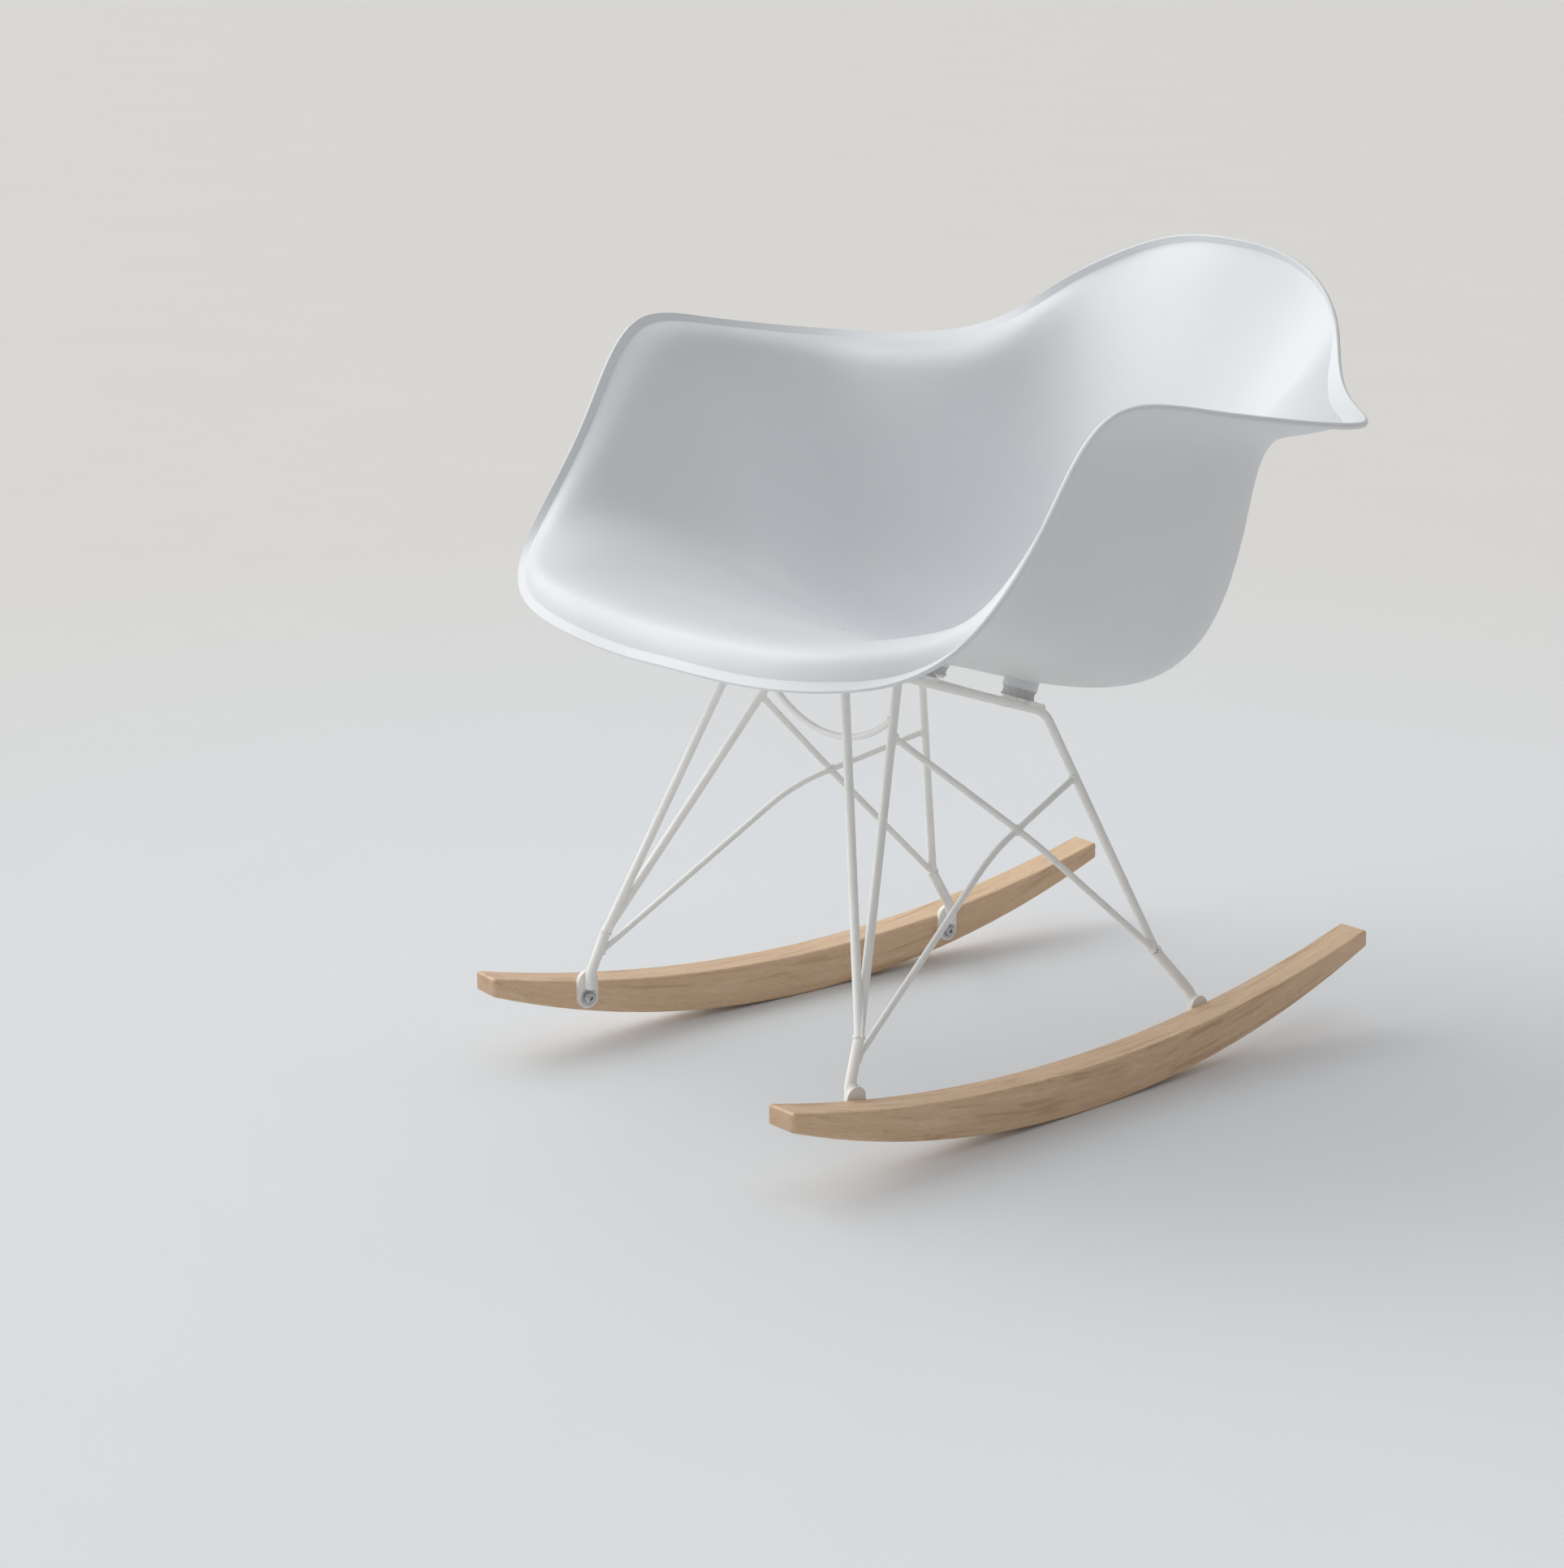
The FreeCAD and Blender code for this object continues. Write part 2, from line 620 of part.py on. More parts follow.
def cross_arc(left_end, sag):
    """A rod that hangs in an arc between the two sides."""
    right_end = Vec(-left_end.x, left_end.y, left_end.z)
    middle = Vec(0, left_end.y, left_end.z - sag)
    path = Part.Wire(Part.Arc(right_end, middle, left_end).toShape())
    start = path.Edges[0].tangentAt(path.Edges[0].FirstParameter)
    section = Part.Wire(Part.makeCircle(BRACE_ROD / 2, right_end, start))
    return path.makePipeShell([section], True, False)


def coped(rod, *neighbours):
    """A rod with its ends cut to the shape of the pieces that it is welded to."""
    for neighbour in neighbours:
        rod = rod.cut(neighbour)
    return max(rod.Solids, key=lambda solid: solid.Volume)


# ---------------------------------------------------------------- build

def build_shell_and_mounts():
    """Everything from the shell down to the plates on the rails."""
    blank = shell_blank()
    save(seat_shell(blank), "seat_shell")
    inserts = [insert(blank, y, side) for y, side in MOUNT_PLACES]
    save(group(inserts), "seat_inserts")
    for y, side in MOUNT_PLACES:
        name = END_NAMES[y] + "_" + SIDE_NAMES[side]
        save(shock_mount(y, side), "shock_mount_" + name)
    save(group([sleeve(y, side) for y, side in MOUNT_PLACES]), "mount_sleeves")
    washers = []
    screws = []
    for y, side in MOUNT_PLACES:
        base, up = mount_frame(y, side)
        grip = WASHER_THICKNESS + PLATE_THICKNESS + RUBBER_HEIGHT
        washers.append(washer(base, up))
        reach = grip + insert_length(blank, y, side) - SCREW_END_GAP
        screws.append(screw(base - up * WASHER_THICKNESS, up, reach))
    save(group(washers), "mount_washers")
    save(group(screws), "mount_screws")


def build_frame():
    """The welded wire frame, each rod coped to the ones it meets."""
    rail = side_wire()
    plates = {y: mount_plate(y, 1).cut(rail) for y in (MOUNT_FRONT_Y, MOUNT_REAR_Y)}
    front_post = foot_post(FOOT_FRONT_Y, front_post_top())
    rear_post = foot_post(FOOT_REAR_Y, rear_post_top())
    feet = {"front": foot_plate(FOOT_FRONT_Y), "rear": foot_plate(FOOT_REAR_Y)}
    front_post = coped(front_post, feet["front"])
    rear_post = coped(rear_post, feet["rear"])
    rail = coped(rail, front_post, rear_post)
    plate_list = list(plates.values())
    strut = coped(bent_rod(strut_ends(), MAIN_ROD), front_post, rail, *plate_list)
    bow = coped(long_brace(), front_post, strut, rail)
    stay = coped(short_brace(), rear_post, rail, strut)
    stay = stay.cut(bow)
    pieces = {
        "side_wire": rail,
        "front_strut": strut,
        "long_brace": bow,
        "short_brace": stay,
        "front_post": front_post,
        "rear_post": rear_post,
        "mount_plate_front": plates[MOUNT_FRONT_Y],
        "mount_plate_rear": plates[MOUNT_REAR_Y],
        "foot_plate_front": feet["front"],
        "foot_plate_rear": feet["rear"],
    }
    for name, shape in pieces.items():
        save(shape, name + "_left")
        save(mirrored(shape), name + "_right")
    foot, head = strut_ends()
    front_arc = cross_arc(between(foot, head, ARC_FRONT_SHARE), ARC_FRONT_SAG)
    save(coped(front_arc, strut, mirrored(strut)), "front_arc")
    cross_rod = bent_rod([rail_point(CROSS_ROD_Y, -1), rail_point(CROSS_ROD_Y, 1)], BRACE_ROD)
    save(coped(cross_rod, rail, mirrored(rail)), "cross_rod")


def build_rockers():
    """Both rockers and what fastens the feet to them."""
    feet = (FOOT_FRONT_Y, FOOT_REAR_Y)
    blade = rocker()
    for y in feet:
        blade = blade.cut(insert_hole(y))
    save(blade, "rocker_left")
    save(mirrored(blade), "rocker_right")
    for name, maker in (("rocker_inserts", foot_insert), ("rocker_washers", foot_washer),
                        ("rocker_screws", foot_screw)):
        lefts = [maker(y) for y in feet]
        save(group(lefts + [mirrored(shape) for shape in lefts]), name)


os.makedirs("parts", exist_ok=True)
build_shell_and_mounts()
build_frame()
build_rockers()
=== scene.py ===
"""Looks of a rocking armchair: its finishes, weld beads, moulding marks, studio and camera.

Metres throughout, +Z up, floor at Z = 0, the chair faces -Y, +X is the sitter's left.
"""
import logging
import math
from dataclasses import dataclass, field
from enum import Enum

import bmesh
import bpy
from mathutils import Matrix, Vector
from mathutils.bvhtree import BVHTree


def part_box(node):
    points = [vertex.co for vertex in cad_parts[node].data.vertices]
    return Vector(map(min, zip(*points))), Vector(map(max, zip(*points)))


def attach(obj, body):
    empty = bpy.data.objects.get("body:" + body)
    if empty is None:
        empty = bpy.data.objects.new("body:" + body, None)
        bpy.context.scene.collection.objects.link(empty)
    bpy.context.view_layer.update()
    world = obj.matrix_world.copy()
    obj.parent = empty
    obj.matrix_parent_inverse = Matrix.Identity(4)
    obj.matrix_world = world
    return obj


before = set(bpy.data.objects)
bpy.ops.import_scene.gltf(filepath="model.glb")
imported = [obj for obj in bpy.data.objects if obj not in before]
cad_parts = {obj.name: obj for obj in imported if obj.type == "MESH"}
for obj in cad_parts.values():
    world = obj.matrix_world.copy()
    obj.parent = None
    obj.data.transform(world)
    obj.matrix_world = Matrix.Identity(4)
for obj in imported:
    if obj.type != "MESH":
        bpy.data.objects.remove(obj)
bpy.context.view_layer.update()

LOG = logging.getLogger("rocking_armchair")
SIDES = ("left", "right")
ENDS = ("front", "rear")
SAME_PLACE = 1e-6
Colour = tuple[float, float, float, float]


def tone(red: float, green: float, blue: float) -> Colour:
    """A linear colour with full alpha."""
    return (red, green, blue, 1.0)


class Axis(Enum):
    """Which output of a Separate XYZ node is meant."""

    X = 0
    Y = 1
    Z = 2


class Graph:
    """A material's node tree, with short calls that add and join nodes."""

    def __init__(self, name: str) -> None:
        """Start an empty material that ends in one principled shader."""
        self.material = bpy.data.materials.new(name)
        self.material.use_nodes = True
        self.nodes = self.material.node_tree.nodes
        self.links = self.material.node_tree.links
        self.shader = self.nodes["Principled BSDF"]

    def fill(self, socket: bpy.types.NodeSocket, value: object) -> None:
        """Give a socket a value, or a link when the value is another socket."""
        if isinstance(value, bpy.types.NodeSocket):
            self.links.new(value, socket)
        else:
            socket.default_value = value

    def node(self, kind: str, inputs: dict | None = None, **settings: object) -> bpy.types.Node:
        """Add a node.

        Args:
            kind: The node's type without its "ShaderNode" prefix.
            inputs: Values or sockets by input name or index.
            settings: Attributes of the node.

        Returns:
            The new node.
        """
        made = self.nodes.new("ShaderNode" + kind)
        for name, value in settings.items():
            setattr(made, name, value)
        for name, value in (inputs or {}).items():
            self.fill(made.inputs[name], value)
        return made

    def place(self) -> bpy.types.NodeSocket:
        """The point on the piece, in metres in the chair's frame."""
        return self.node("TexCoord").outputs["Object"]

    def parts(self, vector: bpy.types.NodeSocket) -> list[bpy.types.NodeSocket]:
        """The three numbers of a vector, indexed by Axis."""
        return list(self.node("SeparateXYZ", {0: vector}).outputs)

    def joined(self, x: object, y: object, z: object) -> bpy.types.NodeSocket:
        """A vector from three numbers."""
        return self.node("CombineXYZ", {0: x, 1: y, 2: z}).outputs[0]

    def math(self, operation: str, *values: object) -> bpy.types.NodeSocket:
        """One arithmetic step on numbers or sockets."""
        inputs = dict(enumerate(values))
        return self.node("Math", inputs, operation=operation).outputs[0]

    def hypot(self, first: object, second: object) -> bpy.types.NodeSocket:
        """Length of the flat vector that has these two numbers."""
        squares = self.math("ADD", self.math("MULTIPLY", first, first),
                            self.math("MULTIPLY", second, second))
        return self.math("POWER", squares, 0.5)

    def noise(self, vector: bpy.types.NodeSocket, scale: float, detail: float = 3.0,
              roughness: float = 0.5, distortion: float = 0.0) -> bpy.types.NodeSocket:
        """Soft noise from 0 to 1 whose grain is about 1 / scale metres."""
        inputs = {"Vector": vector, "Scale": scale, "Detail": detail,
                  "Roughness": roughness, "Distortion": distortion}
        return self.node("TexNoise", inputs).outputs[0]

    def cells(self, vector: bpy.types.NodeSocket, scale: float) -> bpy.types.NodeSocket:
        """Distance to the nearest of many scattered points."""
        return self.node("TexVoronoi", {"Vector": vector, "Scale": scale}).outputs["Distance"]

    def spread(self, value: bpy.types.NodeSocket, low: float, high: float,
               start: float = 0.3, end: float = 0.7) -> bpy.types.NodeSocket:
        """Map start..end of a number to low..high, held at both ends."""
        inputs = {"Value": value, "From Min": start, "From Max": end,
                  "To Min": low, "To Max": high}
        return self.node("MapRange", inputs).outputs[0]

    def mix(self, share: object, first: object, second: object) -> bpy.types.NodeSocket:
        """A colour between two colours."""
        made = self.node("Mix", {0: share, 6: first, 7: second}, data_type="RGBA")
        return made.outputs[2]

    def ramp(self, value: bpy.types.NodeSocket,
             stops: list[tuple[float, Colour]]) -> bpy.types.NodeSocket:
        """A colour from a number, through the given stops."""
        made = self.node("ValToRGB", {0: value})
        elements = made.color_ramp.elements
        while len(elements) < len(stops):
            elements.new(0.5)
        for element, (position, colour) in zip(elements, stops):
            element.position = position
            element.color = colour
        return made.outputs[0]

    def bump(self, height: bpy.types.NodeSocket, depth: float, strength: float = 1.0,
             under: bpy.types.NodeSocket | None = None) -> bpy.types.NodeSocket:
        """A normal bent by a height field.

        Args:
            height: The height, from 0 to 1.
            depth: Metres from the lowest to the highest.
            strength: Share of the effect.
            under: A normal to start from.

        Returns:
            The bent normal.
        """
        inputs = {"Height": height, "Distance": depth, "Strength": strength}
        if under is not None:
            inputs["Normal"] = under
        return self.node("Bump", inputs).outputs[0]

    def finish(self, **inputs: object) -> bpy.types.Material:
        """Fill the shader's sockets, named with underscores for spaces, and give the material."""
        for name, value in inputs.items():
            self.fill(self.shader.inputs[name.replace("_", " ")], value)
        return self.material


# ------------------------------------------------------------------ finishes

@dataclass(frozen=True)
class MouldedWhite:
    """Satin white moulded plastic with a fine spark-eroded grain."""

    light: Colour = tone(0.795, 0.815, 0.830)
    cool: Colour = tone(0.765, 0.790, 0.812)
    fleck: Colour = tone(0.70, 0.72, 0.74)
    fleck_share: float = 0.12
    fleck_scale: float = 240.0
    drift_scale: float = 5.0
    gloss: tuple[float, float] = (0.34, 0.46)
    rub_scale: float = 34.0
    grain_scale: float = 1500.0
    pore_scale: float = 900.0
    grain_depth: float = 0.00006
    flow_scale: float = 9.0
    flow_depth: float = 0.0006
    relief: float = 0.5
    refraction: float = 1.49

    def material(self) -> bpy.types.Material:
        """Build the finish."""
        g = Graph("moulded_white")
        at = g.place()
        drift = g.noise(at, self.drift_scale, detail=4.0, roughness=0.55, distortion=0.4)
        base = g.mix(g.spread(drift, 0.0, 1.0), self.light, self.cool)
        flecks = g.spread(g.noise(at, self.fleck_scale, detail=2.0), 0.0, self.fleck_share,
                          start=0.62, end=0.8)
        base = g.mix(flecks, base, self.fleck)
        rub = g.noise(at, self.rub_scale, detail=6.0, roughness=0.62, distortion=0.8)
        shine = g.spread(rub, *self.gloss)
        flow = g.bump(g.noise(at, self.flow_scale, detail=1.0), self.flow_depth, self.relief)
        pores = g.math("ADD", g.noise(at, self.grain_scale, detail=2.0, roughness=0.6),
                       g.cells(at, self.pore_scale))
        skin = g.bump(pores, self.grain_depth, self.relief, under=flow)
        return g.finish(Base_Color=base, Roughness=shine, Normal=skin, IOR=self.refraction)


@dataclass(frozen=True)
class PowderCoat:
    """Warm white powder coating, with orange peel and thin spots that show on welds."""

    light: Colour = tone(0.955, 0.948, 0.918)
    shaded: Colour = tone(0.905, 0.893, 0.858)
    speck: Colour = tone(0.60, 0.585, 0.54)
    speck_share: float = 0.25
    speck_scale: float = 1900.0
    drift_scale: float = 26.0
    gloss: tuple[float, float] = (0.36, 0.52)
    gloss_scale: float = 90.0
    peel_scale: float = 520.0
    peel_depth: float = 0.00006
    grit_scale: float = 2600.0
    grit_depth: float = 0.00003
    refraction: float = 1.5

    def material(self) -> bpy.types.Material:
        """Build the finish."""
        g = Graph("powder_coat")
        at = g.place()
        drift = g.noise(at, self.drift_scale, detail=4.0, roughness=0.6)
        base = g.mix(g.spread(drift, 0.0, 1.0), self.light, self.shaded)
        specks = g.spread(g.noise(at, self.speck_scale, detail=2.0), 0.0, self.speck_share,
                          start=0.64, end=0.78)
        base = g.mix(specks, base, self.speck)
        shine = g.spread(g.noise(at, self.gloss_scale, detail=5.0, roughness=0.6), *self.gloss)
        peel = g.bump(g.noise(at, self.peel_scale, detail=2.0, roughness=0.45),
                      self.peel_depth, strength=0.8)
        grit = g.bump(g.noise(at, self.grit_scale, detail=1.0), self.grit_depth,
                      strength=0.5, under=peel)
        return g.finish(Base_Color=base, Roughness=shine, Normal=grit, IOR=self.refraction)


@dataclass(frozen=True)
class OiledBeech:
    """Pale steam-bent beech. Its grain follows the rocker's bend."""

    bend_radius: float
    early: Colour = tone(0.765, 0.525, 0.325)
    late: Colour = tone(0.585, 0.370, 0.208)
    pale: Colour = tone(0.840, 0.625, 0.425)
    fleck: Colour = tone(0.360, 0.215, 0.120)
    end_grain: Colour = tone(0.420, 0.275, 0.165)
    end_share: float = 0.62
    ring_scale: float = 150.0
    ring_stretch: float = 0.055
    broad_scale: float = 38.0
    broad_share: float = 0.42
    fibre_scale: float = 1150.0
    fibre_share: float = 0.46
    fibre_depth: float = 0.00022
    dash_scale: float = 1500.0
    dash_stretch: float = 0.10
    dash_share: float = 0.50
    dash_depth: float = 0.00018
    warp_scale: float = 7.0
    warp_reach: float = 0.016
    gloss: tuple[float, float] = (0.40, 0.55)
    oil: float = 0.12
    oil_roughness: float = 0.32
    refraction: float = 1.47

    def bent_place(self, g: Graph) -> tuple[bpy.types.NodeSocket, ...]:
        """Distance along the bend, across the blade and up through it."""
        x, y, z = g.parts(g.place())
        rise = g.math("SUBTRACT", self.bend_radius, z)
        along = g.math("MULTIPLY", g.math("ARCTAN2", y, rise), self.bend_radius)
        return along, x, g.math("SUBTRACT", self.bend_radius, g.hypot(y, rise))

    def log_place(self, g: Graph, along: bpy.types.NodeSocket, across: bpy.types.NodeSocket,
                  up: bpy.types.NodeSocket) -> bpy.types.NodeSocket:
        """The place in the log that the blade was cut from, drawn out along the grain."""
        warp = g.noise(g.joined(along, across, up), self.warp_scale, detail=2.0)
        drift = g.math("MULTIPLY", g.math("SUBTRACT", warp, 0.5), self.warp_reach)
        return g.joined(g.math("MULTIPLY", along, self.ring_stretch),
                        g.math("ADD", across, drift), g.math("ADD", up, drift))

    def material(self) -> bpy.types.Material:
        """Build the finish."""
        g = Graph("oiled_beech")
        along, across, up = self.bent_place(g)
        log = self.log_place(g, along, across, up)
        rings = g.noise(log, self.ring_scale, detail=3.0, roughness=0.58, distortion=0.25)
        fibre = g.noise(log, self.fibre_scale, detail=3.0, roughness=0.6)
        broad = g.noise(log, self.broad_scale, detail=2.0)
        base = g.ramp(rings, [(0.36, self.late), (0.45, self.early),
                              (0.53, self.early), (0.66, self.pale)])
        base = g.mix(g.spread(broad, 0.0, self.broad_share), base, self.pale)
        fibres = g.spread(fibre, 0.0, self.fibre_share, start=0.46, end=0.72)
        base = g.mix(fibres, base, self.late)
        dash = g.joined(g.math("MULTIPLY", along, self.dash_stretch), across, up)
        dashes = g.spread(g.noise(dash, self.dash_scale, detail=1.0), 0.0, self.dash_share,
                          start=0.66, end=0.76)
        base = g.mix(dashes, base, self.fleck)
        facing = g.parts(g.node("NewGeometry").outputs["Normal"])[Axis.Y.value]
        tip = g.spread(g.math("ABSOLUTE", facing), 0.0, self.end_share, start=0.70, end=0.92)
        base = g.mix(tip, base, self.end_grain)
        wood = g.bump(fibre, self.fibre_depth, strength=0.55)
        pores = g.bump(dashes, self.dash_depth, strength=-0.6, under=wood)
        return g.finish(Base_Color=base, Roughness=g.spread(rings, *self.gloss), Normal=pores,
                        IOR=self.refraction, Coat_Weight=self.oil,
                        Coat_Roughness=self.oil_roughness)


@dataclass(frozen=True)
class PaleRubber:
    """Dull pale grey rubber with bloom in its low spots."""

    dark: Colour = tone(0.560, 0.560, 0.550)
    bloom: Colour = tone(0.680, 0.680, 0.668)
    bloom_scale: float = 160.0
    dullness: tuple[float, float] = (0.62, 0.85)
    skin_scale: float = 1600.0
    skin_depth: float = 0.00012

    def material(self) -> bpy.types.Material:
        """Build the finish."""
        g = Graph("mount_rubber")
        at = g.place()
        haze = g.noise(at, self.bloom_scale, detail=5.0, roughness=0.65)
        base = g.mix(g.spread(haze, 0.0, 1.0, start=0.45, end=0.75), self.dark, self.bloom)
        skin = g.bump(g.noise(at, self.skin_scale, detail=3.0, roughness=0.6),
                      self.skin_depth, strength=0.7)
        return g.finish(Base_Color=base, Roughness=g.spread(haze, *self.dullness), Normal=skin)


@dataclass(frozen=True)
class PlatedMetal:
    """Plated metal, with soft spangle and fine turning marks."""

    name: str
    bright: Colour
    dull: Colour
    metalness: float = 1.0
    gloss: tuple[float, float] = (0.26, 0.44)
    spangle_scale: float = 700.0
    haze_scale: float = 300.0
    turning_scale: float = 3200.0
    turning_depth: float = 0.00003

    def material(self) -> bpy.types.Material:
        """Build the finish."""
        g = Graph(self.name)
        at = g.place()
        spangle = g.cells(at, self.spangle_scale)
        haze = g.noise(at, self.haze_scale, detail=4.0, roughness=0.6)
        base = g.mix(g.spread(haze, 0.0, 1.0), self.bright, self.dull)
        turned = g.bump(g.noise(at, self.turning_scale, detail=2.0), self.turning_depth,
                        strength=0.6)
        return g.finish(Base_Color=base, Metallic=self.metalness,
                        Roughness=g.spread(spangle, *self.gloss, start=0.1, end=0.8),
                        Normal=turned)


@dataclass(frozen=True)
class PaintedFloor:
    """Pale painted floor, cool near the chair and warmer far away."""

    near: Colour = tone(0.790, 0.812, 0.826)
    far: Colour = tone(0.792, 0.774, 0.738)
    worn: Colour = tone(0.66, 0.66, 0.68)
    worn_share: float = 0.10
    worn_scale: float = 3.0
    turn_start: float = 0.9
    turn_end: float = 2.2
    wave_scale: float = 60.0
    wave_depth: float = 0.0006
    roughness: float = 0.62

    def material(self) -> bpy.types.Material:
        """Build the finish."""
        g = Graph("painted_floor")
        at = g.place()
        x, y = g.parts(at)[:Axis.Z.value]
        share = g.spread(g.hypot(x, y), 0.0, 1.0, self.turn_start, self.turn_end)
        base = g.mix(share, self.near, self.far)
        mottle = g.noise(at, self.worn_scale, detail=5.0, roughness=0.6)
        base = g.mix(g.spread(mottle, 0.0, self.worn_share), base, self.worn)
        waves = g.bump(g.noise(at, self.wave_scale, detail=4.0, roughness=0.6),
                       self.wave_depth, strength=0.25)
        return g.finish(Base_Color=base, Roughness=self.roughness, Normal=waves)


# ------------------------------------------------------------------ mesh tools

def cad_mesh(node: str) -> bmesh.types.BMesh:
    """A welded copy of a CAD node's mesh, to read shapes from."""
    mesh = bmesh.new()
    mesh.from_mesh(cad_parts[node].data)
    bmesh.ops.remove_doubles(mesh, verts=mesh.verts, dist=SAME_PLACE)
    mesh.normal_update()
    return mesh


def new_piece(name: str, points: list[Vector], faces: list[tuple[int, ...]],
              material: bpy.types.Material) -> bpy.types.Object:
    """Make a smooth-shaded piece that rides on the chair.

    Args:
        name: The piece's name.
        points: Its vertices in the chair's frame.
        faces: Vertex numbers of each face.
        material: Its finish.

    Returns:
        The new object.
    """
    mesh = bpy.data.meshes.new(name)
    mesh.from_pydata([tuple(point) for point in points], [], faces)
    mesh.shade_smooth()
    mesh.materials.append(material)
    piece = bpy.data.objects.new(name, mesh)
    bpy.context.scene.collection.objects.link(piece)
    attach(piece, "root")
    LOG.info("%s: %d faces", name, len(faces))
    return piece


def dress(names: list[str], material: bpy.types.Material) -> None:
    """Put a finish on CAD nodes."""
    for name in names:
        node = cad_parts[name]
        node.data.materials.clear()
        node.data.materials.append(material)
        LOG.info("%s: %s", name, material.name)


def ordered_loops(edges: list[bmesh.types.BMEdge]) -> list[list[Vector]]:
    """Walk edges into closed loops of points.

    Args:
        edges: Edges that form one or more closed loops.

    Returns:
        The points of each loop in order, without the first repeated.
    """
    left = set(edges)
    loops = []
    while left:
        edge = min(left, key=lambda item: item.index)
        left.discard(edge)
        start, here = edge.verts
        chain = [start.co.copy(), here.co.copy()]
        while here is not start:
            onward = [item for item in here.link_edges if item in left]
            if not onward:
                break
            left.discard(onward[0])
            here = onward[0].other_vert(here)
            chain.append(here.co.copy())
        if here is start and len(chain) > 3:
            loops.append(chain[:-1])
    return loops


def girth(loop: list[Vector]) -> float:
    """Length of a closed loop of points."""
    return sum((after - before).length for before, after in zip(loop, loop[1:] + loop[:1]))


def evenly_spaced(loop: list[Vector], step: float) -> list[Vector]:
    """Points at one spacing round a closed loop."""
    ring = loop + loop[:1]
    lengths = [0.0]
    for before, after in zip(ring, ring[1:]):
        lengths.append(lengths[-1] + (after - before).length)
    count = max(8, round(lengths[-1] / step))
    points = []
    at = 0
    for index in range(count):
        target = lengths[-1] * index / count
        while lengths[at + 1] < target:
            at += 1
        share = (target - lengths[at]) / max(lengths[at + 1] - lengths[at], 1e-9)
        points.append(ring[at].lerp(ring[at + 1], share))
    return points


# ------------------------------------------------------------------ sub-assemblies

